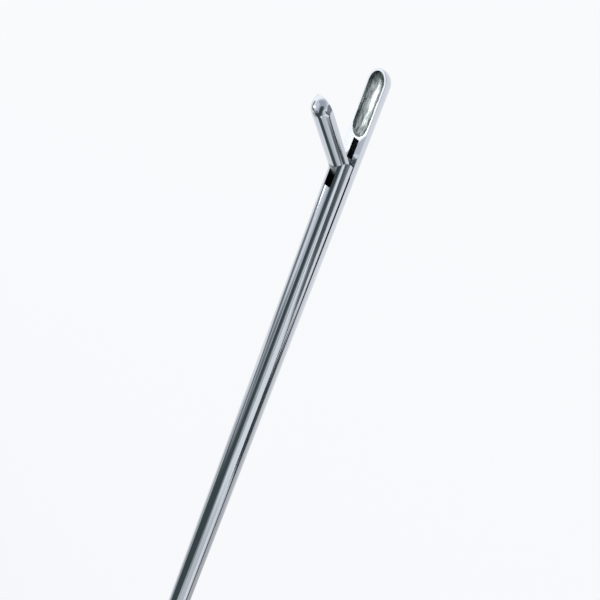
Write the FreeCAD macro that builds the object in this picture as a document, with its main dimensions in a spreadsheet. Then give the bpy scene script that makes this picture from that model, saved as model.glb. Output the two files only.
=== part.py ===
import FreeCAD, Part
import math
import os
import re
import Sketcher

# Biopsy forceps with a sliding shaft, in stainless steel.
# Frame: +X runs along the shaft to the tip of the jaws, +Z is the side of the sliding bar and
# of the jaw that opens, and the hand holds the two rings below. The origin is on the shaft's
# axis at the front face of the hub. The jaws are drawn open, as they stand with the handles
# let go.

# Driving sizes, in millimetres and degrees
SIZES = {
    # working shaft, two half-round bars
    "shaft_radius": 2.0,
    "working_length": 180.0,
    "bar_gap": 0.08,
    "slide_lift": 0.12,
    "edge_break": 0.06,
    "bar_seat": 6.8,
    "seat_radius": 1.8,
    # cups
    "cup_radius": 1.62,
    "cup_depth": 0.9,
    "cup_floor_radius": 3.5,
    "cup_run": 5.6,
    "heel_setback": 1.9,
    "jaw_tip_setback": 1.5,
    # hinge of the moving jaw
    "jaw_pivot_setback": 13.3,
    "jaw_pivot_drop": 0.7,
    "jaw_opening": 40.0,
    "lean_open": 13.0,
    "drive_pin_height": 0.93,
    "pivot_pin_radius": 0.4,
    "drive_pin_radius": 0.35,
    "pin_play": 0.04,
    "tongue_thickness": 1.16,
    "tongue_offset": 0.32,
    "tongue_gap": 0.04,
    "tongue_foot_radius": 0.7,
    "tongue_head_radius": 0.64,
    "nose_gap": 0.12,
    "slot_end_play": 1.08,
    "channel_depth": 1.45,
    "web_reach": 2.6,
    # studs that hold the two bars together
    "stud_front_setback": 24.0,
    "stud_rear_place": 14.0,
    "stud_shank_radius": 0.45,
    "stud_head_radius": 0.85,
    "stud_head_height": 0.45,
    "stud_neck_height": 0.55,
    "stud_play": 0.05,
    "stud_entry": 2.4,
    # hub, the block that carries the shaft and both handles
    "hub_length": 32.0,
    "hub_width": 11.0,
    "hub_top": 4.4,
    "hub_depth": 12.0,
    "hub_nose_radius": 4.2,
    "hub_nose_length": 5.0,
    "spigot_radius": 4.0,
    "spigot_length": 4.0,
    "hub_round": 1.2,
    "bore_play": 0.05,
    "lock_pin_radius": 0.6,
    "lock_pin_spacing": 2.0,
    # sliding head, the block on the tail of the sliding bar
    "head_width": 4.0,
    "head_height": 5.4,
    "head_front": 8.5,
    "head_rear": 22.0,
    "head_tail_end": 26.5,
    "head_tail_height": 2.2,
    "tenon_end": 13.5,
    "tenon_width": 2.0,
    "tenon_height": 1.4,
    "head_pin_radius": 0.5,
    # lever of the finger handle
    "lever_place": 17.0,
    "lever_length": 7.0,
    "lever_pin_height": 1.6,
    "lever_pin_radius": 0.8,
    "lever_tongue": 2.0,
    "lever_prong": 1.1,
    "lever_boss_radius": 4.6,
    "arm_thickness": 4.0,
    "arm_half_width": 4.4,
    "arm_run": 17.0,
    "side_play": 0.05,
    "washer_thickness": 0.25,
    "washer_radius": 3.8,
    "screw_radius": 2.0,
    "screw_play": 0.03,
    "screw_head_radius": 3.4,
    "screw_head_height": 1.5,
    "screw_slot_width": 0.8,
    "nut_radius": 3.0,
    "nut_height": 1.6,
    # keeper plate and its two screws
    "keeper_thickness": 2.0,
    "keeper_length": 6.5,
    "keeper_screw_radius": 0.7,
    "keeper_screw_offset": 3.8,
    "keeper_head_radius": 1.3,
    "keeper_head_height": 0.6,
    # travel stop screw and its lock nut
    "stop_radius": 0.8,
    "stop_height": 1.1,
    "stop_gap": 0.05,
    "stop_end": 4.0,
    "stop_nut_flats": 3.2,
    "stop_nut_height": 1.4,
    # ring handles
    "ring_inner_radius": 11.0,
    "ring_wire_radius": 2.6,
    "thumb_ring_back": 46.0,
    "thumb_ring_drop": 70.0,
    "loop_inner_radius": 10.5,
    "loop_straight": 13.0,
    "loop_forward": 12.0,
    "loop_drop": 72.0,
    # how far a cutting tool goes past the piece
    "past": 9.0,
}

# Places worked out from the sizes, each a formula in their names
PLACES = {
    "tip": "working_length",
    "half_gap": "bar_gap / 2",
    "tip_centre": "working_length - shaft_radius",
    "floor_rise": "cup_floor_radius - cup_depth",
    "cup_heel": "working_length - shaft_radius - cup_run",
    "jaw_pivot": "working_length - jaw_pivot_setback",
    "pin_rise": "jaw_pivot_drop + drive_pin_height",
    "lean_closed": "jaw_opening - lean_open",
    "pin_back": "pin_rise * tan(lean_open)",
    "pin_ahead": "pin_rise * tan(lean_closed)",
    "travel": "pin_back + pin_ahead",
    "drive_pin": "jaw_pivot - pin_back",
    "pin_slot_top": "pin_rise / cos(lean_closed) + pin_play",
    "nose_radius": "shaft_radius - drive_pin_height",
    "tongue_near": "-tongue_offset - tongue_thickness / 2",
    "tongue_far": "-tongue_offset + tongue_thickness / 2",
    "slot_near": "tongue_near - tongue_gap",
    "slot_far": "tongue_far + tongue_gap",
    "slot_rear": "drive_pin - tongue_head_radius - travel - slot_end_play",
    "jaw_reach": "jaw_pivot_setback - shaft_radius - jaw_tip_setback",
    "stud_front": "working_length - stud_front_setback",
    "stud_middle": "(stud_front + stud_rear_place) / 2",
    "lever_swing": "asin(travel / (2 * lever_length))",
    "lever_pivot_drop": "lever_length * cos(lever_swing) - lever_pin_height",
    "lever_pin": "-lever_place - travel / 2",
    "arm_slot": "arm_thickness / 2 + washer_thickness + 2 * side_play",
    "head_slot": "head_width / 2 + side_play",
    "keeper_under": "hub_top - keeper_thickness",
    "tail_wall": "head_tail_end + stop_gap + 0.6",
    "screw_top": "-hub_width / 2 - screw_head_height",
    "screw_end": "hub_width / 2 + nut_height + 0.6",
    "keeper_place": "-head_rear - (keeper_length + 1) / 2",
    "lock_place_front": "-lock_pin_radius * 2",
    "lock_place_rear": "-lock_pin_radius * 2 - lock_pin_spacing",
}
WORD = re.compile(r"[a-z][a-z_]+")


def formula(words):
    """Turn a formula in the names above into one that reads the spreadsheet."""
    def spell(match):
        name = match.group(0)
        if name in SIZES:
            return "Sizes." + name
        if name in PLACES:
            return "(" + formula(PLACES[name]) + ")"
        return name
    return WORD.sub(spell, words)


doc = FreeCAD.newDocument("biopsy_forceps")
sheet = doc.addObject("Spreadsheet::Sheet", "Sizes")
for row, (alias, value) in enumerate(SIZES.items(), start=1):
    sheet.set("A%d" % row, alias)
    sheet.set("B%d" % row, str(value))
    sheet.setAlias("B%d" % row, alias)
doc.recompute()

X_AXIS = FreeCAD.Vector(1, 0, 0)
Y_AXIS = FreeCAD.Vector(0, 1, 0)
ALONG_X = FreeCAD.Rotation(Y_AXIS, 90)
ALONG_Y = FreeCAD.Rotation(X_AXIS, -90)
ALONG_Z = FreeCAD.Rotation()


def bind(obj, **sizes):
    """Bind the object's properties to formulas."""
    for name, words in sizes.items():
        obj.setExpression(name, formula(words))
    return obj


def put(obj, x="0", y="0", z="0", turn=None):
    """Place the object by formulas, with an optional fixed turn."""
    if turn is not None:
        obj.Placement = FreeCAD.Placement(FreeCAD.Vector(), turn)
    for axis, words in (("x", x), ("y", y), ("z", z)):
        if words != "0":
            obj.setExpression("Placement.Base." + axis, formula(words))
    return obj


def swing(obj, words):
    """Turn the object about the Y axis through its own origin by a formula."""
    obj.Placement = FreeCAD.Placement(FreeCAD.Vector(), FreeCAD.Rotation(Y_AXIS, 1))
    obj.setExpression("Placement.Rotation.Angle", formula(words))
    return obj


def block(name, x, y, z):
    """A box between two formulas along each axis."""
    box = doc.addObject("Part::Box", name)
    spans = ["(%s) - (%s)" % (high, low) for low, high in (x, y, z)]
    bind(box, Length=spans[0], Width=spans[1], Height=spans[2])
    return put(box, x[0], y[0], z[0])


def rod(name, radius, turn, start, end, x="0", y="0", z="0"):
    """A round bar along one axis, from start to end."""
    bar = doc.addObject("Part::Cylinder", name)
    bind(bar, Radius=radius, Height="(%s) - (%s)" % (end, start))
    if turn is ALONG_X:
        return put(bar, start, y, z, turn)
    if turn is ALONG_Y:
        return put(bar, x, start, z, turn)
    return put(bar, x, y, start, turn)


def ball(name, radius, x="0", y="0", z="0"):
    """A ball at a place."""
    return put(bind(doc.addObject("Part::Sphere", name), Radius=radius), x, y, z)


def fuse(name, *pieces):
    """Join pieces into one."""
    joined = doc.addObject("Part::MultiFuse", name)
    joined.Shapes = list(pieces)
    joined.Refine = True
    return joined


def common(name, *pieces):
    """Keep what all pieces share."""
    shared = doc.addObject("Part::MultiCommon", name)
    shared.Shapes = list(pieces)
    return shared


def cut(name, base, *tools):
    """Take the tools away from the base."""
    result = doc.addObject("Part::Cut", name)
    result.Base = base
    result.Tool = tools[0] if len(tools) == 1 else fuse(name + "_tools", *tools)
    result.Refine = True
    return result


def pill(name, radius, start, end, z="0"):
    """A round-ended bar along X."""
    middle = rod(name + "_middle", radius, ALONG_X, start, end, z=z)
    rear = ball(name + "_rear", radius, start, z=z)
    front = ball(name + "_front", radius, end, z=z)
    return fuse(name, middle, rear, front)


def hollow(name, start, end, level, floor_level):
    """The hollow of a cup: round-ended walls with a shallow curved floor."""
    return common(
        name,
        pill(name + "_walls", "cup_radius", start, end, z=level),
        pill(name + "_floor", "cup_floor_radius", start, end, z=floor_level),
    )


def new_sketch(body, name, role):
    """A sketch on one of the body's own origin planes."""
    plane = next(f for f in body.Origin.OriginFeatures if f.Role == role)
    sketch = body.newObject("Sketcher::SketchObject", name)
    sketch.AttachmentSupport = [(plane, "")]
    sketch.MapMode = "FlatFace"
    return sketch


def outline(sketch, corners):
    """A closed outline whose corners are bound to formulas."""
    count = len(corners)
    turn = 2 * math.pi / count
    reach = SIZES["past"]
    first = [FreeCAD.Vector(reach * math.cos(i * turn), reach * math.sin(i * turn), 0) for i in range(count)]
    start = sketch.GeometryCount
    for i in range(count):
        sketch.addGeometry(Part.LineSegment(first[i], first[(i + 1) % count]), False)
    for i in range(count):
        follower = start + (i + 1) % count
        sketch.addConstraint(Sketcher.Constraint("Coincident", start + i, 2, follower, 1))
    for i, corner in enumerate(corners):
        pair = (("DistanceX", first[i].x, corner[0]), ("DistanceY", first[i].y, corner[1]))
        for kind, near, words in pair:
            index = sketch.addConstraint(Sketcher.Constraint(kind, -1, 1, start + i, 1, near))
            sketch.setExpression("Constraints[%d]" % index, formula(words))


def plate(name, corners, low, high, role="XZ_Plane"):
    """A padded body with the outline in side view, between two formulas in Y."""
    body = doc.addObject("PartDesign::Body", name)
    sketch = new_sketch(body, name + "_outline", role)
    outline(sketch, corners)
    pad = body.newObject("PartDesign::Pad", name + "_pad")
    pad.Profile = sketch
    bind(pad, Length="(%s) - (%s)" % (high, low))
    doc.recompute()
    return put(body, y=high)


def turned(name, corners, turn, x="0", y="0", z="0"):
    """A body turned on the lathe: the outline gives its radius and its place along the axis."""
    body = doc.addObject("PartDesign::Body", name)
    sketch = new_sketch(body, name + "_outline", "XZ_Plane")
    outline(sketch, corners)
    turning = body.newObject("PartDesign::Revolution", name + "_turning")
    turning.Profile = sketch
    turning.ReferenceAxis = (sketch, ["V_Axis"])
    turning.Angle = 360
    doc.recompute()
    return put(body, x, y, z, turn)


def edges_where(obj, test):
    """Numbers of the object's edges whose middle and direction pass the test."""
    found = []
    for number, edge in enumerate(obj.Shape.Edges, start=1):
        middle = edge.valueAt((edge.FirstParameter + edge.LastParameter) / 2)
        if test(edge, middle):
            found.append(number)
    return found


def soften(name, base, size, test, kind="Part::Fillet"):
    """Round or bevel the chosen edges."""
    doc.recompute()
    numbers = edges_where(base, test)
    finish = doc.addObject(kind, name)
    finish.Base = base
    finish.Edges = [(number, SIZES[size], SIZES[size]) for number in numbers]
    return finish


def half_bar(name, start, low, high, tip="tip_centre", level="0", face="half_gap"):
    """Half of the round bar with its ball tip, between two heights, with its long edges eased."""
    whole = fuse(
        name + "_round",
        rod(name + "_rod", "shaft_radius", ALONG_X, start, tip, z=level),
        ball(name + "_tip", "shaft_radius", tip, z=level),
    )
    side = block(name + "_half", (start, "(%s) + past" % tip), ("-past", "past"), (low, high))
    half = common(name, whole, side)
    rebate = cut(
        name + "_rebate",
        block(name + "_edge_slab", (start, "(%s) + past" % tip), ("-past", "past"),
              ("%s - %s - edge_break" % (level, face), "%s + %s + edge_break" % (level, face))),
        block(name + "_edge_core", ("(%s) - 1" % start, tip),
              ("-shaft_radius + edge_break", "shaft_radius - edge_break"), ("-past", "past")),
        ball(name + "_edge_ball", "shaft_radius - edge_break", tip, z=level),
    )
    return cut(name + "_eased", half, rebate)


def seat(name, start, low, high):
    """The turned-down end of a half-round bar that goes into the hub."""
    return common(
        name,
        rod(name + "_rod", "seat_radius", ALONG_X, start, "shaft_radius"),
        block(name + "_half", (start, "shaft_radius"), ("-past", "past"), (low, high)),
    )


# Fixed bar
# The lower half-round bar is one piece from the hub to the fixed cup. Its neck has a milled
# channel for the tongue of the moving jaw, from behind the pivot to the heel of the cup.
lower = fuse("lower_blank", half_bar("lower_bar", "0", "-past", "-half_gap"),
             seat("lower_seat", "-bar_seat", "-past", "-half_gap"))
channel = block(
    "neck_channel",
    ("jaw_pivot - tongue_foot_radius - nose_gap", "cup_heel - heel_setback"),
    ("slot_near", "slot_far"),
    ("-channel_depth", "past"),
)
foot_room = block(
    "foot_room",
    ("jaw_pivot - tongue_head_radius - travel", "jaw_pivot"),
    ("slot_near", "slot_far"),
    ("-jaw_pivot_drop + tongue_foot_radius * 0.3", "past"),
)
STUDS = (("front_guide_stud", "stud_front"), ("middle_guide_stud", "stud_middle"),
         ("rear_guide_stud", "stud_rear_place"))
stud_holes = [
    rod(name + "_hole", "stud_shank_radius", ALONG_Z, "-past", "past", x=place)
    for name, place in STUDS
]
lock_holes = [
    rod("bar_lock_hole_%d" % number, "lock_pin_radius", ALONG_Y, "-past", "past", x=place, z="-1")
    for number, place in enumerate(("lock_place_front", "lock_place_rear"), start=1)
]
fixed_bar = cut(
    "fixed_bar", lower, channel, foot_room,
    hollow("fixed_cup_hollow", "cup_heel", "tip_centre", "0", "floor_rise"),
    rod("jaw_pivot_hole", "pivot_pin_radius", ALONG_Y, "-past", "past",
        x="jaw_pivot", z="-jaw_pivot_drop"),
    *stud_holes, *lock_holes,
)

# Sliding bar
# The upper half-round bar slides on the fixed bar. Its front end is a fork of two cheeks with a
# full-round nose, and its tail is a tenon for the sliding head.
upper = fuse(
    "upper_blank",
    half_bar("upper_bar", "bore_play", "slide_lift", "past", tip="drive_pin + nose_radius",
             face="slide_lift"),
    seat("upper_seat", "-tenon_end", "half_gap", "past"),
)
nose_waste = cut(
    "nose_waste",
    block("nose_waste_block", ("drive_pin", "tip"), ("-past", "past"), ("-past", "past")),
    rod("nose_round", "nose_radius", ALONG_Y, "-past", "past", x="drive_pin", z="drive_pin_height"),
)
fork_slot = block("fork_slot", ("slot_rear", "tip"), ("slot_near", "slot_far"), ("-past", "past"))
tenon_waste = cut(
    "tenon_waste",
    block("tenon_waste_block", ("-tenon_end - 1", "-head_front"), ("-past", "past"), ("-past", "past")),
    block("tenon", ("-tenon_end - 2", "0"), ("-tenon_width / 2", "tenon_width / 2"),
          ("-past", "tenon_height")),
)
keyways = []
for name, place in STUDS:
    keyways.append(block(
        name + "_neck_way",
        (place + " - travel - stud_play", place + " + stud_entry"),
        ("-stud_shank_radius - stud_play", "stud_shank_radius + stud_play"),
        ("-past", "stud_neck_height + stud_play"),
    ))
    keyways.append(block(
        name + "_head_way",
        (place + " - travel - stud_play - stud_head_radius", place + " + stud_entry"),
        ("-stud_head_radius - stud_play", "stud_head_radius + stud_play"),
        ("stud_neck_height - stud_play", "stud_neck_height + stud_head_height + stud_play"),
    ))
    keyways.append(rod(name + "_neck_end", "stud_shank_radius + stud_play", ALONG_Z, "-past",
                       "stud_neck_height + stud_play", x=place + " - travel - stud_play"))
    keyways.append(rod(name + "_entry", "stud_head_radius + stud_play", ALONG_Z, "-past",
                       "stud_neck_height + stud_head_height + stud_play", x=place + " + stud_entry"))
slide_bar = cut(
    "slide_bar", upper, nose_waste, fork_slot, tenon_waste,
    rod("drive_pin_hole", "drive_pin_radius", ALONG_Y, "-past", "past", x="drive_pin", z="drive_pin_height"),
    rod("head_pin_hole", "head_pin_radius", ALONG_Y, "-past", "past",
        x="-(head_front + tenon_end) / 2", z="tenon_height / 2"),
    *keyways,
)

# Moving jaw
# A cup on a flat tongue. It is drawn closed with its pivot at its own origin, then opened.
# The tongue hangs on the pivot pin in the fixed bar, and a long slot in it takes the drive pin.
jaw_shell = half_bar("jaw_shell", "0", "jaw_pivot_drop + half_gap", "past", tip="jaw_reach",
                     level="jaw_pivot_drop")
shoulder_gap = cut(
    "shoulder_gap",
    fuse(
        "shoulder_waste",
        block("shoulder_block", ("-past", "pin_ahead"), ("-past", "past"), ("-past", "past")),
        rod("shoulder_round", "nose_radius + nose_gap", ALONG_Y, "-past", "past",
            x="pin_ahead", z="pin_rise"),
    ),
    block("tongue_space", ("-past", "past"), ("tongue_near", "tongue_far"), ("-past", "past")),
)
tongue_web = plate(
    "tongue_web",
    [("0", "-tongue_foot_radius"), ("tongue_foot_radius * 1.4", "-tongue_foot_radius * 0.5"),
     ("web_reach", "jaw_pivot_drop + half_gap"), ("pin_ahead + 2.2", "pin_rise + 0.2"),
     ("pin_ahead + 0.2", "pin_rise + tongue_head_radius"),
     ("pin_ahead - tongue_head_radius * 0.9", "pin_rise"), ("-tongue_foot_radius", "0")],
    "tongue_near", "tongue_far",
)
tongue = fuse(
    "tongue", tongue_web,
    rod("tongue_foot", "tongue_foot_radius", ALONG_Y, "tongue_near", "tongue_far"),
    rod("tongue_head", "tongue_head_radius", ALONG_Y, "tongue_near", "tongue_far",
        x="pin_ahead", z="pin_rise"),
)
pin_slot = swing(fuse(
    "pin_slot",
    rod("pin_slot_low", "drive_pin_radius + pin_play", ALONG_Y, "-past", "past", z="pin_rise - pin_play"),
    rod("pin_slot_high", "drive_pin_radius + pin_play", ALONG_Y, "-past", "past", z="pin_slot_top"),
    block("pin_slot_middle", ("-drive_pin_radius - pin_play", "drive_pin_radius + pin_play"),
          ("-past", "past"), ("pin_rise - pin_play", "pin_slot_top")),
), "lean_closed")
moving_jaw = cut(
    "moving_jaw", fuse("jaw_blank", cut("jaw_cup_blank", jaw_shell, shoulder_gap), tongue), pin_slot,
    hollow("moving_cup_hollow", "cup_heel - jaw_pivot", "jaw_reach", "jaw_pivot_drop",
           "jaw_pivot_drop - floor_rise"),
    rod("jaw_hole", "pivot_pin_radius + pin_play", ALONG_Y, "-past", "past"),
)
swing(moving_jaw, "-jaw_opening")
put(moving_jaw, x="jaw_pivot", z="-jaw_pivot_drop")

# Jaw pins
# Plain pins riveted over and polished flush with the round of the shaft.
shaft_round = rod("shaft_round", "shaft_radius", ALONG_X, "-1", "tip")
jaw_pivot_pin = common(
    "jaw_pivot_pin", shaft_round,
    rod("jaw_pivot_pin_rod", "pivot_pin_radius", ALONG_Y, "-past", "past",
        x="jaw_pivot", z="-jaw_pivot_drop"))
jaw_drive_pin = common(
    "jaw_drive_pin", shaft_round,
    rod("jaw_drive_pin_rod", "drive_pin_radius", ALONG_Y, "-past", "past",
        x="drive_pin", z="drive_pin_height"))

# Guide studs
# T-headed studs riveted in the fixed bar. Their heads run in keyhole slots under the sliding bar.
guide_studs = []
for name, place in STUDS:
    stud = turned(
        name + "_turned",
        [("0", "-past"), ("stud_shank_radius", "-past"), ("stud_shank_radius", "stud_neck_height"),
         ("stud_head_radius", "stud_neck_height"),
         ("stud_head_radius", "stud_neck_height + stud_head_height"),
         ("0", "stud_neck_height + stud_head_height")],
        ALONG_Z, x=place)
    guide_studs.append(common(name, shaft_round, stud))

# Handle body
# The hub, the rear shank and the thumb ring are one forging. The hub is bored for the shaft,
# with an open way above for the sliding head and a slot below for the finger handle.
hub_plate = plate(
    "hub_plate",
    [("-hub_nose_length", "-hub_nose_radius"), ("-hub_nose_length", "hub_top"),
     ("-hub_length + 3", "hub_top"),
     ("-hub_length", "hub_top - 2"), ("-hub_length", "-hub_depth + 5"), ("-hub_length + 3.5", "-hub_depth"),
     ("-lever_place - 6.5", "-hub_depth"), ("-hub_nose_length - 4", "-hub_depth + 3")],
    "-hub_width / 2", "hub_width / 2",
)
hub_plate = soften(
    "hub_softened", hub_plate, "hub_round",
    lambda edge, mid: abs(abs(mid.y) - SIZES["hub_width"] / 2) < 0.01)
hub_nose = turned(
    "hub_nose",
    [("0", "-hub_nose_length - 3"), ("spigot_radius + 1.1", "-hub_nose_length - 3"),
     ("spigot_radius + 1.1", "-hub_nose_length"), ("spigot_radius", "-spigot_length"),
     ("spigot_radius", "0"), ("0", "0")],
    ALONG_X)


def shank(name, sections):
    """A shank lofted through upright-cut ovals: place x, z, half width along X and along Y."""
    rings = []
    for number, (x, z, along, across) in enumerate(sections, start=1):
        oval = doc.addObject("Part::Ellipse", "%s_oval_%d" % (name, number))
        bind(oval, MajorRadius=along, MinorRadius=across)
        put(oval, x, z=z)
        rings.append(oval)
    loft = doc.addObject("Part::Loft", name)
    loft.Sections = rings
    loft.Solid = True
    loft.Ruled = False
    return loft


thumb_shank = shank("thumb_shank", [
    ("-hub_length * 0.79", "-hub_depth * 0.75", "hub_width * 0.45", "hub_width * 0.33"),
    ("-hub_length * 0.84", "-hub_depth * 1.5", "hub_width * 0.38", "hub_width * 0.29"),
    ("-hub_length * 1.05", "-hub_depth * 3", "ring_wire_radius * 1.3", "ring_wire_radius * 1.08"),
    ("-thumb_ring_back * 0.86", "-thumb_ring_drop + ring_inner_radius * 1.73", "ring_wire_radius * 1.2",
     "ring_wire_radius"),
    ("-thumb_ring_back * 0.93", "-thumb_ring_drop + ring_inner_radius + ring_wire_radius",
     "ring_wire_radius * 1.3", "ring_wire_radius * 0.92"),
])
thumb_ring = bind(doc.addObject("Part::Torus", "thumb_ring"),
                  Radius1="ring_inner_radius + ring_wire_radius", Radius2="ring_wire_radius")
put(thumb_ring, "-thumb_ring_back", z="-thumb_ring_drop", turn=ALONG_Y)
bar_bore = rod("bar_bore", "seat_radius + bore_play", ALONG_X, "-head_front - 1", "1")
handle_body = cut(
    "handle_body", fuse("handle_forging", hub_plate, hub_nose, thumb_shank, thumb_ring),
    cut("bar_bore_upper", bar_bore,
        block("bar_bed", ("-head_front - 2", "2"), ("-past", "past"), ("-past", "-half_gap"))),
    rod("bar_seat_bore", "seat_radius", ALONG_X, "-bar_seat", "1"),
    block("head_way", ("-tail_wall", "-bar_seat"), ("-head_slot", "head_slot"), ("0", "past")),
    block("arm_way", ("-lever_place - 7.5", "-bar_seat - 1.2"), ("-arm_slot", "arm_slot"),
          ("-hub_depth - 1", "0.1")),
    block("keeper_seat", ("-head_rear - 0.5 - keeper_length", "-head_rear - 0.5"), ("-past", "past"),
          ("keeper_under", "past")),
    rod("pivot_bore", "screw_radius", ALONG_Y, "-past", "past", x="-lever_place", z="-lever_pivot_drop"),
    rod("stop_bore", "stop_radius", ALONG_X, "-hub_length - 1", "-tail_wall + 0.5", z="stop_height"),
    *[rod("keeper_bore_%d" % number, "keeper_screw_radius", ALONG_Z, "keeper_under - 3.5", "past",
          x="keeper_place", y=side)
      for number, side in enumerate(("-keeper_screw_offset", "keeper_screw_offset"), start=1)],
    *lock_holes,
)

# Pins that lock the fixed bar in the hub, driven through and dressed flush
lock_pins = [
    rod("bar_lock_pin_%d" % number, "lock_pin_radius", ALONG_Y, "-past", "past", x=place, z="-1")
    for number, place in enumerate(("lock_place_front", "lock_place_rear"), start=1)
]
bar_lock_pins = common("bar_lock_pins", fuse("lock_pin_pair", *lock_pins), hub_nose)

# Sliding head
# A block brazed and pinned on the tenon of the sliding bar. The cross pin in its fork is pushed
# by the lever of the finger handle, and its low tail runs under the keeper plate.
head_block = fuse(
    "head_block",
    block("head_front_block", ("-head_rear", "-head_front"), ("-head_width / 2", "head_width / 2"),
          ("half_gap", "head_height")),
    block("head_tail_block", ("-head_tail_end", "-head_rear + 1"), ("-head_width / 2", "head_width / 2"),
          ("half_gap", "head_tail_height")),
)
head_block = soften(
    "head_softened", head_block, "head_pin_radius",
    lambda edge, mid: mid.z > SIZES["head_height"] - 0.01)
slide_head = cut(
    "slide_head", head_block,
    block("tenon_mortise", ("-tenon_end", "0"), ("-tenon_width / 2", "tenon_width / 2"),
          ("-past", "tenon_height")),
    block("lever_fork", ("lever_pin - lever_pin_radius - lever_prong - 1.2",
                         "lever_pin + lever_pin_radius + lever_prong + 1.2"),
          ("-lever_tongue / 2 - side_play", "lever_tongue / 2 + side_play"), ("-past", "head_height - 1.2")),
    rod("head_pin_bore", "head_pin_radius", ALONG_Y, "-past", "past",
        x="-(head_front + tenon_end) / 2", z="tenon_height / 2"),
    rod("lever_pin_bore", "lever_pin_radius", ALONG_Y, "-past", "past", x="lever_pin", z="lever_pin_height"),
)
slide_head_pin = rod(
    "slide_head_pin", "head_pin_radius", ALONG_Y, "-head_width / 2", "head_width / 2",
    x="-(head_front + tenon_end) / 2", z="tenon_height / 2")
slide_drive_pin = rod(
    "slide_drive_pin", "lever_pin_radius", ALONG_Y, "-head_width / 2", "head_width / 2",
    x="lever_pin", z="lever_pin_height")

# Keeper plate and its screws
# The plate crosses the way behind the sliding head and keeps its tail down.
keeper_holes = [
    rod("keeper_hole_%d" % number, "keeper_screw_radius", ALONG_Z, "-past", "past",
        x="keeper_place", y=side)
    for number, side in enumerate(("-keeper_screw_offset", "keeper_screw_offset"), start=1)
]
keeper_block = soften(
    "keeper_softened",
    block("keeper_block", ("-head_rear - 0.5 - keeper_length", "-head_rear - 0.5"),
          ("-hub_width / 2", "hub_width / 2"), ("keeper_under", "hub_top")),
    "stud_shank_radius", lambda edge, mid: mid.z > SIZES["hub_top"] - 0.01)
slide_keeper = cut("slide_keeper", keeper_block, *keeper_holes)
screws = []
for number, side in enumerate(("-keeper_screw_offset", "keeper_screw_offset"), start=1):
    screw = turned(
        "keeper_screw_%d" % number,
        [("0", "-keeper_thickness - 3"), ("keeper_screw_radius - 0.3", "-keeper_thickness - 3"),
         ("keeper_screw_radius", "-keeper_thickness - 2.6"), ("keeper_screw_radius", "0"),
         ("keeper_head_radius", "0"), ("keeper_head_radius", "keeper_head_height * 0.6"),
         ("keeper_head_radius * 0.7", "keeper_head_height"), ("0", "keeper_head_height")],
        ALONG_Z, "keeper_place", side, "hub_top")
    slot = block(
        "keeper_slot_%d" % number,
        ("-head_rear - 0.5 - keeper_length", "-head_rear - 0.5"),
        (side + " - screw_slot_width / 4", side + " + screw_slot_width / 4"),
        ("hub_top + keeper_head_height * 0.35", "past"))
    screws.append(cut("keeper_screw_cut_%d" % number, screw, slot))
keeper_screws = fuse("keeper_screws", *screws)

# Travel stop
# A set screw in the hub's rear wall stops the sliding head when the jaws are open.
stop_screw = cut(
    "stop_screw",
    turned(
        "stop_screw_turned",
        [("0", "-hub_length - stop_end"), ("stop_radius * 0.7", "-hub_length - stop_end"),
         ("stop_radius", "-hub_length - stop_end + 0.3"), ("stop_radius", "-head_tail_end - stop_gap - 0.2"),
         ("stop_radius * 0.7", "-head_tail_end - stop_gap"), ("0", "-head_tail_end - stop_gap")],
        ALONG_X, z="stop_height"),
    block("stop_slot", ("-hub_length - stop_end - 1", "-hub_length - stop_end + 0.7"), ("-past", "past"),
          ("stop_height - 0.2", "stop_height + 0.2")),
)
nut_prism = bind(doc.addObject("Part::Prism", "stop_nut_prism"),
                 Circumradius="stop_nut_flats / 2 / cos(30)", Height="stop_nut_height")
nut_prism.Polygon = 6
put(nut_prism, "-hub_length - stop_nut_height", z="stop_height", turn=ALONG_X)
stop_lock_nut = cut(
    "stop_lock_nut", nut_prism,
    rod("stop_nut_bore", "stop_radius", ALONG_X, "-hub_length - past", "0", z="stop_height"))

# Finger handle
# Drawn upright about its pivot, then leaned back by half of its swing. The lever's two prongs
# hold the cross pin of the sliding head, and the loop below takes two fingers.
lever = plate(
    "lever",
    [("-lever_pin_radius - lever_prong", "0"), ("lever_pin_radius + lever_prong", "0"),
     ("lever_pin_radius + lever_prong", "lever_length + lever_pin_radius + 0.2"),
     ("-lever_pin_radius - lever_prong", "lever_length + lever_pin_radius + 0.2")],
    "-lever_tongue / 2", "lever_tongue / 2")
lever = cut(
    "lever_fork_cut", lever,
    block("lever_notch", ("-lever_pin_radius - screw_play", "lever_pin_radius + screw_play"),
          ("-past", "past"), ("lever_length - lever_pin_radius - 0.3", "lever_length + past")))
boss = rod("lever_boss", "lever_boss_radius", ALONG_Y, "-arm_thickness / 2", "arm_thickness / 2")
arm = plate(
    "finger_arm",
    [("-arm_half_width", "0"), ("arm_half_width", "0"), ("arm_half_width * 1.2", "-arm_run * 0.47"),
     ("arm_half_width * 1.4", "-arm_run * 0.76"), ("arm_half_width * 1.2", "-arm_run"),
     ("arm_half_width * 0.6", "-arm_run"), ("-arm_half_width * 0.14", "-arm_run * 0.76"),
     ("-arm_half_width * 0.73", "-arm_run * 0.47")],
    "-arm_thickness / 2", "arm_thickness / 2")
finger_shank = shank("finger_shank", [
    ("arm_run * 0.15", "-arm_run * 0.7", "arm_half_width * 0.86", "arm_thickness / 2 - side_play"),
    ("arm_run * 0.25", "-arm_run * 1.06", "arm_half_width * 0.84", "ring_wire_radius * 0.94"),
    ("loop_forward * 0.67", "-loop_drop * 0.45", "ring_wire_radius * 1.25", "ring_wire_radius * 1.04"),
    ("loop_forward * 0.88", "-loop_drop + loop_straight / 2 + loop_inner_radius * 1.76",
     "ring_wire_radius * 1.15", "ring_wire_radius"),
    ("loop_forward * 0.96", "-loop_drop + loop_straight / 2 + loop_inner_radius + ring_wire_radius",
     "ring_wire_radius * 1.3", "ring_wire_radius * 0.92"),
])
loop_pieces = []
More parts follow.
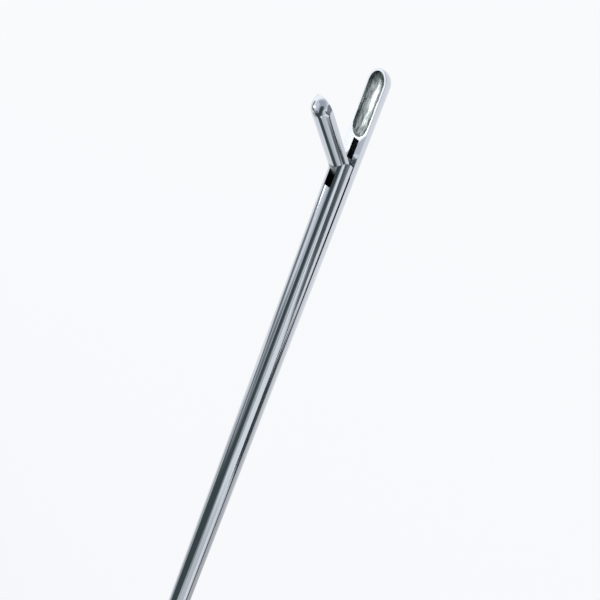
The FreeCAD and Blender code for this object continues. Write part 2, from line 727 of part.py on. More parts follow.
for name, side, spin in (("upper", "loop_straight / 2", 0), ("lower", "-loop_straight / 2", 180)):
    bow = bind(doc.addObject("Part::Torus", "finger_loop_" + name),
               Radius1="loop_inner_radius + ring_wire_radius", Radius2="ring_wire_radius")
    bow.Angle3 = 180
    put(bow, "loop_forward", z="-loop_drop + " + side,
        turn=FreeCAD.Rotation(Y_AXIS, spin).multiply(FreeCAD.Rotation(X_AXIS, 90)))
    loop_pieces.append(bow)
for name, side in (("front", "+"), ("rear", "-")):
    loop_pieces.append(rod(
        "finger_loop_" + name, "ring_wire_radius", ALONG_Z,
        "-loop_drop - loop_straight / 2", "-loop_drop + loop_straight / 2",
        x="loop_forward %s (loop_inner_radius + ring_wire_radius)" % side))
finger_handle = cut(
    "finger_handle", fuse("finger_forging", lever, boss, arm, finger_shank, *loop_pieces),
    rod("finger_bore", "screw_radius + screw_play", ALONG_Y, "-past", "past"))
swing(finger_handle, "-lever_swing")
put(finger_handle, x="-lever_place", z="-lever_pivot_drop")

# Handle pivot
# A shoulder screw through both walls of the hub, with a slotted round nut on the far side and
# two thrust washers that keep the arm central in its slot.
handle_pivot_screw = cut(
    "handle_pivot_screw",
    turned(
        "pivot_screw_turned",
        [("0", "screw_top"), ("screw_head_radius - 0.4", "screw_top"),
         ("screw_head_radius", "screw_top + 0.5"), ("screw_head_radius", "-hub_width / 2"),
         ("screw_radius", "-hub_width / 2"),
         ("screw_radius", "screw_end - 0.3"), ("screw_radius - 0.3", "screw_end"), ("0", "screw_end")],
        ALONG_Y, "-lever_place", z="-lever_pivot_drop"),
    block("pivot_screw_slot", ("-hub_length", "0"), ("-hub_width", "screw_top + screw_head_height * 0.55"),
          ("-lever_pivot_drop - screw_slot_width / 2", "-lever_pivot_drop + screw_slot_width / 2")),
)
pivot_lock_nut = cut(
    "pivot_lock_nut",
    turned(
        "pivot_nut_turned",
        [("screw_radius", "0"), ("nut_radius", "0"), ("nut_radius", "nut_height - 0.4"),
         ("nut_radius - 0.4", "nut_height"), ("screw_radius", "nut_height")],
        ALONG_Y, "-lever_place", "hub_width / 2", "-lever_pivot_drop"),
    block("nut_slot", ("-lever_place - screw_slot_width / 2", "-lever_place + screw_slot_width / 2"),
          ("hub_width / 2 + nut_height * 0.5", "hub_width"), ("-hub_depth - past", "past")),
)
washers = []
for name, low in (("near_thrust_washer", "-arm_thickness / 2 - side_play - washer_thickness"),
                  ("far_thrust_washer", "arm_thickness / 2 + side_play")):
    washers.append(cut(
        name,
        rod(name + "_disc", "washer_radius", ALONG_Y, low, low + " + washer_thickness",
            x="-lever_place", z="-lever_pivot_drop"),
        rod(name + "_hole", "screw_radius", ALONG_Y, "-past", "past",
            x="-lever_place", z="-lever_pivot_drop"),
    ))

NODES = [
    fixed_bar, slide_bar, moving_jaw, jaw_pivot_pin, jaw_drive_pin, *guide_studs, handle_body, bar_lock_pins,
    slide_head, slide_head_pin, slide_drive_pin, slide_keeper, keeper_screws, stop_screw, stop_lock_nut,
    finger_handle, handle_pivot_screw, pivot_lock_nut, *washers,
]

doc.recompute()
for obj in doc.Objects:
    if "Invalid" in obj.State or "Error" in obj.State:
        raise RuntimeError("%s is not built: %s" % (obj.Name, obj.State))
for node in NODES:
    node.Label = node.Name
    if node.Shape.isNull() or not node.Shape.isValid():
        raise RuntimeError("%s has no valid shape" % node.Name)

os.makedirs("parts", exist_ok=True)
for node in NODES:
    node.Shape.exportStep("parts/%s.step" % node.Label)
    box = node.Shape.BoundBox
    print("%-20s solids %d volume %9.3f  x %8.2f %8.2f  y %6.2f %6.2f  z %7.2f %7.2f" % (
        node.Label, len(node.Shape.Solids), node.Shape.Volume,
        box.XMin, box.XMax, box.YMin, box.YMax, box.ZMin, box.ZMax))
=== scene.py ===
import math
import bpy
from mathutils import Matrix, Vector

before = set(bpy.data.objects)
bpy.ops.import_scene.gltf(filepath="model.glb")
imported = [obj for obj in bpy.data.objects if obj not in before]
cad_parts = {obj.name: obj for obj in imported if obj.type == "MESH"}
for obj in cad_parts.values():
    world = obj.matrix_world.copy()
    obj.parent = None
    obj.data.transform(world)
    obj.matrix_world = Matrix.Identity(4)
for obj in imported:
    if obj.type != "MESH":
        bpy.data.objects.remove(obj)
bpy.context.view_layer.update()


# Fixed bar
# The lower half-round bar of the shaft, one piece of drawn stainless steel from the hub to the
# fixed cup. The outside is polished along its length, the cup and the channel are milled.
def colour(code):
    """A linear colour from an sRGB hex value."""
    parts = [int(code[i:i + 2], 16) / 255 for i in (1, 3, 5)]
    return [*[c / 12.92 if c <= 0.04045 else ((c + 0.055) / 1.055) ** 2.4 for c in parts], 1]


def add(tree, kind, place, inputs=(), **settings):
    """Add a node, set its settings, and give each input a value or a link from another node's output."""
    made = tree.nodes.new(kind)
    made.location = place
    for name, value in settings.items():
        setattr(made, name, value)
    for name, value in dict(inputs).items():
        if isinstance(value, bpy.types.NodeSocket):
            tree.links.new(value, made.inputs[name])
        else:
            made.inputs[name].default_value = value
    return made


def clear_material(name):
    """A new material with an empty node tree."""
    material = bpy.data.materials.new(name)
    material.use_nodes = True
    material.node_tree.nodes.clear()
    return material, material.node_tree


def maths(tree, operation, first, second=0.0):
    """The result of one sum."""
    made = add(tree, "ShaderNodeMath", (-900, 0), {0: first, 1: second}, operation=operation)
    return made.outputs["Value"]


def between(tree, value, middle, half_width):
    """1 where the value is within half a width of the middle, else 0."""
    away = maths(tree, "ABSOLUTE", maths(tree, "SUBTRACT", value, middle))
    return maths(tree, "LESS_THAN", away, half_width)


def blend_values(tree, share, first, second):
    """A value between two others."""
    return add(tree, "ShaderNodeMix", (-300, 0), {0: share, 2: first, 3: second}).outputs[0]


def blend_colours(tree, share, first, second):
    """A colour between two others."""
    return add(tree, "ShaderNodeMixRGB", (-300, 200), {
        "Fac": share, "Color1": first, "Color2": second}).outputs["Color"]


# Polished stainless steel: a clear mirror with hairlines left by the polishing belt, which ran
# along the bar, and a faint cloudiness. Real hairlines are 0.01 mm wide, too fine to show, so
# they are drawn 0.12 mm wide and 6 mm long. The milled cup keeps the rows of the ball cutter,
# 0.25 mm apart, and is dull on its walls, which are darkened with painted shade, darkest at the
# tip; a bright painted highlight lies on its floor. The slot is darkened with painted shade, and
# a line of painted shade runs between the sliding faces near the jaws.
hairline_width = 0.00012
hairline_length = 0.006
cloud_size = 0.004
cutter_row = 0.00025
cutter_length = 0.0016
cup_radius = 0.00162
cup_edge = 0.00001, 0.00005
painted_highlight_middle = 0.0034
painted_highlight_half_length = 0.0012
painted_highlight_half_width = 0.0006
painted_highlight_edge = 0.0008
painted_shade_tip_reach = 0.0006, 0.0002
slot_middle = -0.00032
slot_half_width = 0.00063
parting_shade_reach = 0.025, 0.01
parting_shade_width = 0.000004
parting_shade_on_wall = 0.00004
relief_height = 0.00002
mirror_relief = 0.06
milled_relief = 1.0


def bar_steel(name, cup, slot, slot_shade_tints, parting_shade_place=None, pivot=(0, 0, 0), lean=0.0):
    """Steel of one bar. cup is where its hollow starts, ends and lies in height; slot its ends and
    lowest height. The argument after slot gives the darkest and lightest tint of the painted shade in
    the slot; the last the end and height of the sliding face and the height of the wall beside it,
    where a line of painted shade runs along the parting."""
    material, tree = clear_material(name)
    place = add(tree, "ShaderNodeTexCoord", (-1700, 0)).outputs["Object"]
    point = add(tree, "ShaderNodeMapping", (-1500, 0), {
        "Vector": place, "Location": pivot, "Rotation": (0, lean, 0)},
        vector_type="TEXTURE").outputs["Vector"]
    split = add(tree, "ShaderNodeSeparateXYZ", (-1300, 200), {"Vector": point})
    x, y, z = (split.outputs[letter] for letter in "XYZ")
    along = add(tree, "ShaderNodeMapping", (-1000, 0), {
        "Vector": point, "Scale": (1 / hairline_length, 1 / hairline_width, 1 / hairline_width)})
    hairlines = add(tree, "ShaderNodeTexNoise", (-800, 0), {
        "Vector": along.outputs["Vector"], "Scale": 1, "Detail": 3, "Roughness": 0.6}).outputs["Fac"]
    clouds = add(tree, "ShaderNodeTexNoise", (-800, -300), {
        "Vector": point, "Scale": 1 / cloud_size, "Detail": 2}).outputs["Fac"]
    rows = add(tree, "ShaderNodeMapping", (-1000, -600), {
        "Vector": point, "Scale": (1 / cutter_length, 1 / cutter_row, 1 / cutter_row)})
    milling = add(tree, "ShaderNodeTexNoise", (-800, -600), {
        "Vector": rows.outputs["Vector"], "Scale": 1, "Detail": 4, "Roughness": 0.65}).outputs["Fac"]
    tint = blend_colours(tree, clouds, colour("#D0D5DC"), colour("#D6DADF"))
    gloss = add(tree, "ShaderNodeMapRange", (-500, 0), {
        "Value": hairlines, "From Min": 0.3, "From Max": 0.7,
        "To Min": 0.05, "To Max": 0.12}).outputs["Result"]
    depth = hairlines
    strength = mirror_relief
    if cup:
        start, end, height = cup
        nearest = maths(tree, "MINIMUM", maths(tree, "MAXIMUM", x, start), end)
        middle = add(tree, "ShaderNodeCombineXYZ", (-1100, -800), {"X": nearest, "Y": 0, "Z": height})
        reach = add(tree, "ShaderNodeVectorMath", (-900, -800), {0: point, 1: middle.outputs["Vector"]},
                    operation="DISTANCE").outputs["Value"]
        hollow = add(tree, "ShaderNodeMapRange", (-700, -800), {
            "Value": reach, "From Min": cup_radius + cup_edge[0], "From Max": cup_radius + cup_edge[1],
            "To Min": 1, "To Max": 0}).outputs["Result"]
        streaks = add(tree, "ShaderNodeMapRange", (-700, -1000), {
            "Value": milling, "From Min": 0.38, "From Max": 0.6}).outputs["Result"]
        # Painted highlight: a bright patch with a ragged edge on the floor of the cup.
        painted_highlight_share = 1.0
        for letter, middle, half_width in (
                (x, start + painted_highlight_middle, painted_highlight_half_length), (y, 0, painted_highlight_half_width)):
            away = maths(tree, "ABSOLUTE", maths(tree, "SUBTRACT", letter, middle))
            ragged = maths(tree, "ADD", away, maths(tree, "MULTIPLY", milling, painted_highlight_edge))
            inside = add(tree, "ShaderNodeMapRange", (-700, -1200), {
                "Value": ragged, "From Min": half_width, "From Max": half_width + painted_highlight_edge,
                "To Min": 1, "To Max": 0}).outputs["Result"]
            painted_highlight_share = maths(tree, "MULTIPLY", inside, painted_highlight_share)
        # The cup's walls: real cutter rows, darkened by painted shade.
        milled_wall_with_painted_shade = blend_colours(tree, streaks, colour("#6A7371"), colour("#CDD3D1"))
        # Painted shade, deepening towards the far end of the cup.
        painted_tip_shade = add(tree, "ShaderNodeMapRange", (-700, -1300), {
            "Value": x, "From Min": end - painted_shade_tip_reach[0], "From Max": end + painted_shade_tip_reach[1]}).outputs["Result"]
        tip_shade_tint = blend_colours(tree, streaks, colour("#4A5251"), colour("#8B9290"))
        milled_wall_with_painted_shade = blend_colours(tree, painted_tip_shade, milled_wall_with_painted_shade, tip_shade_tint)
        # The colours of the painted highlight on the cup's floor.
        bright = blend_colours(tree, streaks, colour("#D6DAD9"), colour("#F3F4F4"))
        tint = blend_colours(tree, hollow, tint, blend_colours(tree, painted_highlight_share, milled_wall_with_painted_shade, bright))
        gloss = blend_values(tree, hollow, gloss, blend_values(tree, painted_highlight_share, 0.26, 0.14))
        strength = maths(tree, "MULTIPLY_ADD", hollow, milled_relief - mirror_relief)
        strength.node.inputs[2].default_value = mirror_relief
        depth = blend_values(tree, hollow, hairlines, milling)
    # Painted shade in the slot: darker tints, mottled by the cutter rows.
    low, high, floor = slot
    painted_shade_share = maths(tree, "MULTIPLY", between(tree, x, (low + high) / 2, (high - low) / 2),
                    between(tree, y, slot_middle, slot_half_width))
    painted_shade_share = maths(tree, "MULTIPLY", painted_shade_share, maths(tree, "GREATER_THAN", z, floor))
    dark = blend_colours(tree, milling, colour(slot_shade_tints[0]), colour(slot_shade_tints[1]))
    tint = blend_colours(tree, painted_shade_share, tint, dark)
    # Painted shade along the parting of the two bars, strongest near the jaws.
    if parting_shade_place:
        end, height, wall = parting_shade_place
        face = between(tree, z, height, parting_shade_width)
        parting_shade_fade = add(tree, "ShaderNodeMapRange", (-700, -1400), {
            "Value": x, "From Min": end - parting_shade_reach[0],
            "From Max": end - parting_shade_reach[1]}).outputs["Result"]
        edge = between(tree, z, wall, parting_shade_on_wall)
        parting_shade_fade = maths(tree, "MULTIPLY", parting_shade_fade, maths(tree, "LESS_THAN", x, end))
        painted_parting_shade = maths(tree, "MULTIPLY", maths(tree, "MAXIMUM", face, edge), parting_shade_fade)
        tint = blend_colours(tree, painted_parting_shade, tint, colour("#3C4244"))
        painted_shade_share = maths(tree, "MAXIMUM", painted_shade_share, painted_parting_shade)
    gloss = blend_values(tree, painted_shade_share, gloss, 0.34)
    relief = add(tree, "ShaderNodeBump", (-300, -300), {
        "Height": depth, "Strength": strength, "Distance": relief_height})
    shader = add(tree, "ShaderNodeBsdfPrincipled", (0, 0), {
        "Base Color": tint, "Metallic": 1, "Roughness": gloss, "Normal": relief.outputs["Normal"]})
    add(tree, "ShaderNodeOutputMaterial", (300, 0), {"Surface": shader.outputs["BSDF"]})
    return material


def finish_node(name, material):
    """Put the material on a CAD node."""
    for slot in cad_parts[name].material_slots:
        slot.material = material


# The fixed bar: painted shade in its cup, slot and parting, and a painted highlight in its cup.
finish_node("fixed_bar", bar_steel(
    "polished_stainless_fixed_bar", cup=(0.1724, 0.178, 0), slot=(0.1651, 0.17053, -0.0015),
    slot_shade_tints=("#6F7678", "#A3AAAB"), parting_shade_place=(0.1655, -0.00004, -0.00006)))


# Sliding bar
# The upper half-round bar, drawn and polished as the fixed one, with the sawn fork for the
# tongue of the moving jaw.
# The sliding bar: painted shade in its fork slot and along its parting.
finish_node("slide_bar", bar_steel(
    "polished_stainless_sliding_bar", cup=None, slot=(0.16339, 0.1680, 0.0),
    slot_shade_tints=("#454B4D", "#70777A"), parting_shade_place=(0.168, 0.00012, 0.00014)))


# Moving jaw
# The cup that opens, milled from the same steel with its tongue. Its pattern is turned with it.
jaw_pivot = (0.1667, 0, -0.0007)
jaw_opening = math.radians(40)
# The moving jaw: painted shade in its cup and slot, and a painted highlight in its cup.
finish_node("moving_jaw", bar_steel(
    "polished_stainless_moving_jaw", cup=(0.0057, 0.0098, 0.0007), slot=(-0.002, 0.0019, -0.0015),
    slot_shade_tints=("#6F7678", "#A3AAAB"), pivot=jaw_pivot, lean=-jaw_opening))


# Jaw pins
# Hard stainless pins of 0.8 mm and 0.7 mm, riveted over and polished flush with the round of the
# shaft. The hairlines run on over their ends, so that they hardly show.
pin_steel, tree = clear_material("hard_stainless_pin")
place = add(tree, "ShaderNodeTexCoord", (-1200, 0)).outputs["Object"]
along = add(tree, "ShaderNodeMapping", (-1000, 0), {
    "Vector": place, "Scale": (1 / hairline_length, 1 / hairline_width, 1 / hairline_width)})
hairlines = add(tree, "ShaderNodeTexNoise", (-800, 0), {
    "Vector": along.outputs["Vector"], "Scale": 1, "Detail": 3, "Roughness": 0.6}).outputs["Fac"]
gloss = add(tree, "ShaderNodeMapRange", (-500, 0), {
    "Value": hairlines, "From Min": 0.3, "From Max": 0.7, "To Min": 0.05, "To Max": 0.12})
relief = add(tree, "ShaderNodeBump", (-500, -300), {
    "Height": hairlines, "Strength": mirror_relief, "Distance": relief_height})
shader = add(tree, "ShaderNodeBsdfPrincipled", (0, 0), {
    "Base Color": blend_colours(tree, hairlines, colour("#CFD4DA"), colour("#D6DADF")),
    "Metallic": 1, "Roughness": gloss.outputs["Result"], "Normal": relief.outputs["Normal"]})
add(tree, "ShaderNodeOutputMaterial", (300, 0), {"Surface": shader.outputs["BSDF"]})
for name in ("jaw_pivot_pin", "jaw_drive_pin"):
    finish_node(name, pin_steel)


# Guide studs
# Three T-headed studs of the same hard steel, riveted in the fixed bar and polished flush below.
for name in ("front_guide_stud", "middle_guide_stud", "rear_guide_stud"):
    finish_node(name, pin_steel)


# Handle body
# The hub, rear shank and thumb ring, a stainless forging that was ground, tumbled and given a
# satin polish.

# Satin stainless steel: a fine tumbled grain of 0.2 mm that breaks up the light, over the soft
# waves, 5 mm across, that a hand polisher leaves in a forging. Edges are rubbed brighter.
grain_size = 0.0002
wave_size = 0.005
edge_reach = 0.0004
satin_relief = 0.12


def satin_steel(name, stretch):
    """Satin steel whose grain is drawn out by stretch along each axis."""
    material, tree = clear_material(name)
    place = add(tree, "ShaderNodeTexCoord", (-1400, 0)).outputs["Object"]
    drawn = add(tree, "ShaderNodeMapping", (-1200, 0), {
        "Vector": place, "Scale": [1 / (grain_size * share) for share in stretch]})
    grain = add(tree, "ShaderNodeTexNoise", (-1000, 0), {
        "Vector": drawn.outputs["Vector"], "Scale": 1, "Detail": 4, "Roughness": 0.6}).outputs["Fac"]
    waves = add(tree, "ShaderNodeTexNoise", (-1000, -300), {
        "Vector": place, "Scale": 1 / wave_size, "Detail": 2}).outputs["Fac"]
    round_edge = add(tree, "ShaderNodeBevel", (-1000, -600), {"Radius": edge_reach}, samples=6)
    flat = add(tree, "ShaderNodeNewGeometry", (-1000, -800))
    turn = add(tree, "ShaderNodeVectorMath", (-800, -700), {
        0: round_edge.outputs["Normal"], 1: flat.outputs["Normal"]},
        operation="DOT_PRODUCT").outputs["Value"]
    rubbed = add(tree, "ShaderNodeMapRange", (-600, -700), {
        "Value": turn, "From Min": 0.8, "From Max": 0.99, "To Min": 1, "To Max": 0}).outputs["Result"]
    tint = blend_colours(tree, waves, colour("#B6BABE"), colour("#C9CCCF"))
    gloss = add(tree, "ShaderNodeMapRange", (-600, 0), {
        "Value": grain, "From Min": 0.3, "From Max": 0.7,
        "To Min": 0.14, "To Max": 0.24}).outputs["Result"]
    relief = add(tree, "ShaderNodeBump", (-400, -300), {
        "Height": grain, "Strength": satin_relief, "Distance": relief_height})
    shader = add(tree, "ShaderNodeBsdfPrincipled", (0, 0), {
        "Base Color": blend_colours(tree, rubbed, tint, colour("#E2E4E6")), "Metallic": 1,
        "Roughness": blend_values(tree, rubbed, gloss, 0.12), "Normal": relief.outputs["Normal"]})
    add(tree, "ShaderNodeOutputMaterial", (300, 0), {"Surface": shader.outputs["BSDF"]})
    return material


finish_node("handle_body", satin_steel("satin_stainless_forging", (1, 1, 1)))


# Lock pins
# Two cross pins that hold the fixed bar in the nose of the hub, dressed flush with it. Their
# ends show the marks of the file, 2 mm long.
finish_node("bar_lock_pins", satin_steel("filed_stainless_pin", (10, 1, 1)))


# Sliding head
# A small block, milled and then ground along its length, with the marks of the wheel, 3 mm long.
finish_node("slide_head", satin_steel("ground_stainless_head", (15, 0.8, 0.8)))


# Sliding head pins
# The pin through the tenon and the cross pin that the lever pushes, both ground bright round
# their own axis, with rings 0.1 mm apart.
cross_pin_steel = satin_steel("ground_stainless_cross_pin", (6, 0.5, 6))
for name in ("slide_head_pin", "slide_drive_pin"):
    finish_node(name, cross_pin_steel)


# Keeper
# The plate that holds the sliding head down, ground across its length.
finish_node("slide_keeper", satin_steel("ground_stainless_plate", (0.8, 15, 0.8)))


# Keeper screws
# Two slotted screws of stainless steel, turned on the lathe.

# Turned stainless steel: fine rings round the screw's own axis, 0.1 mm apart, left by the tool,
# and spots 1 mm across where handling has dulled it.
ring_pitch = 0.0001
spot_size = 0.001
turned_relief = 0.15
ring_scale = math.pi / 10 / ring_pitch


def turned_steel(name, axis, centre, mirrored=False):
    """Turned steel with rings round an axis through centre; mirrored gives a pair of axes, one on
    either side of the middle."""
    material, tree = clear_material(name)
    place = add(tree, "ShaderNodeTexCoord", (-1600, 0)).outputs["Object"]
    if mirrored:
        split = add(tree, "ShaderNodeSeparateXYZ", (-1400, 0), {"Vector": place})
        side = maths(tree, "ABSOLUTE", split.outputs["Y"])
        place = add(tree, "ShaderNodeCombineXYZ", (-1200, 0), {
            "X": split.outputs["X"], "Y": side, "Z": split.outputs["Z"]}).outputs["Vector"]
    own = add(tree, "ShaderNodeMapping", (-1000, 0), {
        "Vector": place, "Location": centre}, vector_type="TEXTURE")
    rings = add(tree, "ShaderNodeTexWave", (-800, 0), {
        "Vector": own.outputs["Vector"], "Scale": ring_scale, "Distortion": 0.6,
        "Detail": 2, "Detail Scale": 0.3}, wave_type="RINGS", rings_direction=axis).outputs["Fac"]
    spots = add(tree, "ShaderNodeTexNoise", (-800, -300), {
        "Vector": place, "Scale": 1 / spot_size, "Detail": 3}).outputs["Fac"]
    gloss = add(tree, "ShaderNodeMapRange", (-500, 0), {"Value": rings, "To Min": 0.14, "To Max": 0.26})
    relief = add(tree, "ShaderNodeBump", (-500, -300), {
        "Height": rings, "Strength": turned_relief, "Distance": relief_height})
    shader = add(tree, "ShaderNodeBsdfPrincipled", (0, 0), {
        "Base Color": blend_colours(tree, spots, colour("#BFC3C6"), colour("#D0D3D5")), "Metallic": 1,
        "Roughness": gloss.outputs["Result"], "Normal": relief.outputs["Normal"]})
    add(tree, "ShaderNodeOutputMaterial", (300, 0), {"Surface": shader.outputs["BSDF"]})
    return material


finish_node("keeper_screws", turned_steel(
    "turned_keeper_screw", "Z", (-0.02575, 0.0038, 0), mirrored=True))


# Travel stop
# A slotted set screw in the rear wall of the hub, with a hexagon lock nut whose flats are milled.
finish_node("stop_screw", turned_steel("turned_stop_screw", "X", (0, 0, 0.0011)))
finish_node("stop_lock_nut", satin_steel("milled_stainless_nut", (0.8, 6, 6)))


# Finger handle
# The lever, arm and finger loop, a forging finished as the handle body.
finish_node("finger_handle", satin_steel("satin_stainless_lever_forging", (1, 1, 1)))


# Handle pivot
# A shoulder screw and a slotted round nut, turned and left bright.
pivot_steel = turned_steel("turned_pivot_screw", "Y", (-0.017, 0, -0.005374))
for name in ("handle_pivot_screw", "pivot_lock_nut"):
    finish_node(name, pivot_steel)


# Thrust washers
# Two thin washers of hard stainless strip, lapped flat, with the short crossed marks of lapping.
washer_steel = satin_steel("lapped_stainless_washer", (3, 0.4, 3))
for name in ("near_thrust_washer", "far_thrust_washer"):
    finish_node(name, washer_steel)


# Table
# A wide board under the instrument, covered with matt white paper.
floor_size = 8.0
floor_drop = 0.101
paper_white = 0.93
shade_middle = (-0.15, -0.1, -floor_drop)
shade_start = 0.14
shade_end = 0.26
shade_depth = 0.45
bpy.ops.object.select_all(action="DESELECT")
bpy.ops.mesh.primitive_plane_add(size=floor_size, location=(0, 0, -floor_drop))
table = bpy.context.object
table.name = "table"
bpy.ops.object.transform_apply(location=True)
paper, tree = clear_material("matt_white_paper")
ray = add(tree, "ShaderNodeLightPath", (-800, 0))
mirrored = maths(tree, "ADD", ray.outputs["Is Glossy Ray"], ray.outputs["Is Transmission Ray"])
seen = maths(tree, "ADD", ray.outputs["Is Camera Ray"], mirrored)
share = maths(tree, "MULTIPLY", seen, paper_white)
place = add(tree, "ShaderNodeTexCoord", (-1000, -300)).outputs["Object"]
slope = add(tree, "ShaderNodeMapping", (-800, -300), {
    "Vector": place, "Location": (0.5, 0, 0), "Rotation": (0, 0, math.radians(-34)),
    "Scale": (2.2, 1, 1)})
fade = add(tree, "ShaderNodeTexGradient", (-600, -300), {"Vector": slope.outputs["Vector"]})
white = blend_colours(tree, fade.outputs["Fac"], colour("#F9FBFE"), colour("#FDFDFF"))
# The paper under the handles is in their shade, which shows only in the steel.
reach = add(tree, "ShaderNodeVectorMath", (-800, -600), {
    0: place, 1: shade_middle}, operation="DISTANCE").outputs["Value"]
shade = add(tree, "ShaderNodeMapRange", (-600, -600), {
    "Value": reach, "From Min": shade_start, "From Max": shade_end,
    "To Min": shade_depth, "To Max": 0.0}).outputs["Result"]
strength = maths(tree, "SUBTRACT", 1.0, maths(tree, "MULTIPLY", mirrored, shade))
sheet = add(tree, "ShaderNodeBsdfDiffuse", (-200, 200), {"Color": colour("#F4F5F7")})
lit = add(tree, "ShaderNodeEmission", (-200, -200), {"Color": white, "Strength": strength})
mix = add(tree, "ShaderNodeMixShader", (0, 0), {
    "Fac": share, 1: sheet.outputs["BSDF"], 2: lit.outputs["Emission"]})
add(tree, "ShaderNodeOutputMaterial", (300, 0), {"Surface": mix.outputs["Shader"]})
table.data.materials.append(paper)


# Light tent
# A dome of white cloth over the table, lit from outside, with grey and black cards clipped in it.
# The cards give the polished steel its dark bands. An angle is counted round from the near side
# towards the handles, then up from the table. A card follows a line of places, with its half
# width, the softness of its edge and its colour.
tent_centre = Vector((0.15, 0, 0))
tent_radius = 1.5
cloth_glow = 1.3
tent_cards = [
    ([(-60, 75)], 30, 30, "#A0A5AF"),
    ([(-30, 12), (9, 10)], 14, 8, "#7C8184"),
    ([(120, 3), (165, 3)], 6, 8, "#D6D8DB"),
    ([(156, 24), (178, 27)], 6, 7, "#84898C"),
    ([(124, 18), (134, 19)], 5, 7, "#9DA2A5"),
    ([(112, 30), (120, 35), (135, 38), (145, 38), (153, 28)], 5, 5, "#6F777A"),
    ([(124, 53), (104, 56)], 4, 7, "#71787B"),
    ([(145, 52), (134, 60)], 4, 6, "#D8DBDE"),
    ([(70, 12), (57, 22), (50, 8)], 6, 8, "#BABEC1"),
    ([(-8, 67), (50, 60), (71, 45), (88, 40), (108, 34)], 9, 9, "#3C4648"),
    ([(98, 28), (95, 14), (90, 3)], 8, 11, "#3C4648"),
    ([(42, 28), (34, 14), (35, 7)], 7, 6, "#DCDFE1"),
    ([(47, 31), (37, 34.5), (28, 37)], 1, 3.5, "#8F9598"),
    ([(62, 31), (55, 36.5), (43, 44), (34, 48)], 1.5, 5, "#7E8487"),
    ([(14, 33), (22, 24), (22, 12), (24, 3), (27, -5)], 2.5, 5, "#454D50"),
    ([(165, 67), (190, 70)], 11, 12, "#CDD0D6"),
]


def towards(round_angle, height_angle):
    """The direction of one place on the tent."""
    turn, rise = math.radians(round_angle), math.radians(height_angle)
    return Vector((-math.sin(turn) * math.cos(rise), -math.cos(turn) * math.cos(rise), math.sin(rise)))


def angle_to_path(direction, path):
    """How far a direction is from a line of places on the tent, in degrees."""
    places = [towards(*spot) for spot in path]
    if len(places) == 1:
        return math.degrees(direction.angle(places[0]))
    nearest = 180.0
    for first, second in zip(places, places[1:]):
        run = second - first
        share = max(0, min(1, (direction - first).dot(run) / run.length_squared))
        nearest = min(nearest, math.degrees(direction.angle(first + run * share)))
    return nearest


bpy.ops.object.select_all(action="DESELECT")
bpy.ops.mesh.primitive_uv_sphere_add(
    segments=180, ring_count=120, radius=tent_radius, location=tent_centre)
tent = bpy.context.object
tent.name = "light_tent"
bpy.ops.object.transform_apply(location=True)
glow = tent.data.color_attributes.new("glow", "FLOAT_COLOR", "POINT")
for vertex, shade in zip(tent.data.vertices, glow.data):
    direction = (vertex.co - tent_centre).normalized()
    light = Vector(colour("#FCFDFF")[:3])
    for path, half_width, softness, card in tent_cards:
        away = (angle_to_path(direction, path) - half_width) / softness
        share = 1 - max(0, min(1, away))
        share = share * share * (3 - 2 * share)
        light = light.lerp(Vector(colour(card)[:3]), share)
    shade.color = (*light, 1)
cloth, tree = clear_material("lit_tent_cloth")
dye = add(tree, "ShaderNodeVertexColor", (-400, 0), layer_name="glow")
shine = add(tree, "ShaderNodeEmission", (-200, 0), {
    "Color": dye.outputs["Color"], "Strength": cloth_glow})
add(tree, "ShaderNodeOutputMaterial", (0, 0), {"Surface": shine.outputs["Emission"]})
tent.data.materials.append(cloth)
tent.visible_camera = False
tent.visible_shadow = False


# Black card
# A wedge of black card that lies on the table on the near side, and draws the dark line beside
# the parting of the two bars.
card_rise = 0.001
card_corners = [
    (-0.085, -0.16), (0.0, -0.16), (-0.012, -0.28), (-0.165, -0.42), (-0.22, -1.2),
    (-0.95, -1.0), (-0.62, -0.78), (-0.3, -0.45), (-0.15, -0.29)]
wedge = bpy.data.meshes.new("black_card")
wedge.from_pydata(
    [(x, y, card_rise - floor_drop) for x, y in card_corners], [], [tuple(range(len(card_corners)))])
black_card = bpy.data.objects.new("black_card", wedge)
bpy.context.scene.collection.objects.link(black_card)
felt, tree = clear_material("black_card")
dark = add(tree, "ShaderNodeEmission", (-200, 0), {"Color": colour("#3E4648"), "Strength": 1})
add(tree, "ShaderNodeOutputMaterial", (0, 0), {"Surface": dark.outputs["Emission"]})
wedge.materials.append(felt)
black_card.visible_camera = False
black_card.visible_shadow = False
black_card.visible_diffuse = False


# Jaw card
# A small grey card, its edges faded, that stands 45 mm from the jaws on the near side. It draws
# the soft dark line down the open jaw.
jaw_card_centre = Vector((0.1367, -0.03, 0.0035))
jaw_card_reach = Vector((0.643, -0.766, 0)) * 0.011
jaw_card_rise = Vector((0, 0, 0.0075))
upright = bpy.data.meshes.new("jaw_card")
upright.from_pydata(
    [jaw_card_centre + jaw_card_reach * side + jaw_card_rise * level
     for side, level in ((-1, -1), (1, -1), (1, 1), (-1, 1))], [], [(0, 1, 2, 3)])
jaw_card = bpy.data.objects.new("jaw_card", upright)
bpy.context.scene.collection.objects.link(jaw_card)
pasteboard, tree = clear_material("grey_pasteboard")
place = add(tree, "ShaderNodeTexCoord", (-1400, 0)).outputs["Object"]
offset = add(tree, "ShaderNodeVectorMath", (-1200, 0), {
    0: place, 1: jaw_card_centre}, operation="SUBTRACT").outputs["Vector"]
shares = []
for way in (jaw_card_reach, jaw_card_rise):
    along_way = add(tree, "ShaderNodeVectorMath", (-1000, 0), {
        0: offset, 1: way / way.length_squared}, operation="DOT_PRODUCT").outputs["Value"]
    shares.append(maths(tree, "MULTIPLY", along_way, along_way))
edge_share = maths(tree, "SQRT", maths(tree, "ADD", *shares))
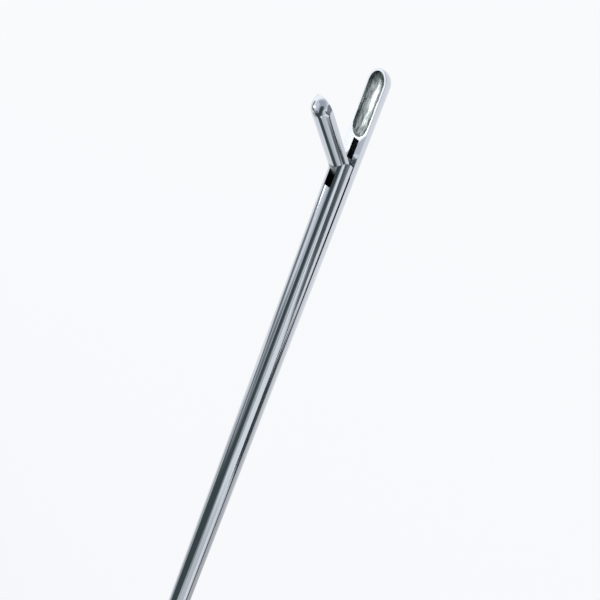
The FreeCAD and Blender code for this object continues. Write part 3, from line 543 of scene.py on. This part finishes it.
solid_share = add(tree, "ShaderNodeMapRange", (-500, 0), {
    "Value": edge_share, "From Min": 0.3, "From Max": 1, "To Min": 1, "To Max": 0}).outputs["Result"]
clear = add(tree, "ShaderNodeBsdfTransparent", (-400, 200))
grey = add(tree, "ShaderNodeEmission", (-400, -200), {"Color": colour("#666D71"), "Strength": 1})
faded = add(tree, "ShaderNodeMixShader", (-200, 0), {
    "Fac": solid_share, 1: clear.outputs["BSDF"], 2: grey.outputs["Emission"]})
add(tree, "ShaderNodeOutputMaterial", (0, 0), {"Surface": faded.outputs["Shader"]})
upright.materials.append(pasteboard)
jaw_card.visible_camera = False
jaw_card.visible_shadow = False
jaw_card.visible_diffuse = False


# Lamp
# A small round lamp in the tent that puts the bright dot on the ball of the open jaw.
lamp_way = towards(160, 46)
lamp_distance = 1.3
bpy.ops.object.light_add(type="AREA", location=tent_centre + lamp_way * lamp_distance)
lamp = bpy.context.object
lamp.data.shape = "DISK"
lamp.data.size = 0.26
lamp.data.energy = 0.9
lamp.rotation_euler = lamp_way.to_track_quat("Z", "Y").to_euler()


# Room light
# The white room round the tent.
world = bpy.data.worlds.new("white_room")
bpy.context.scene.world = world
world.use_nodes = True
tree = world.node_tree
tree.nodes.clear()
sky = add(tree, "ShaderNodeBackground", (0, 0), {"Color": colour("#FBFCFF"), "Strength": 1})
add(tree, "ShaderNodeOutputWorld", (300, 0), {"Surface": sky.outputs["Background"]})


# Camera
# It looks down on the jaws from the near side, turned so that the shaft rises to the right.
bpy.ops.object.camera_add(location=(0.19587, -0.07486, 0.06309))
camera = bpy.context.object
right = Vector((0.3184, -0.4822, -0.8161))
down = Vector((-0.8275, -0.5614, 0.0089))
ahead = Vector((-0.4625, 0.6725, -0.5778))
turn = Matrix((right, -down, -ahead)).transposed()
camera.rotation_mode = "QUATERNION"
camera.rotation_quaternion = turn.to_quaternion()
camera.data.lens = 44.4
camera.data.sensor_width = 36
camera.data.clip_start = 0.001
bpy.context.scene.camera = camera
bpy.context.scene.view_settings.view_transform = "Standard"
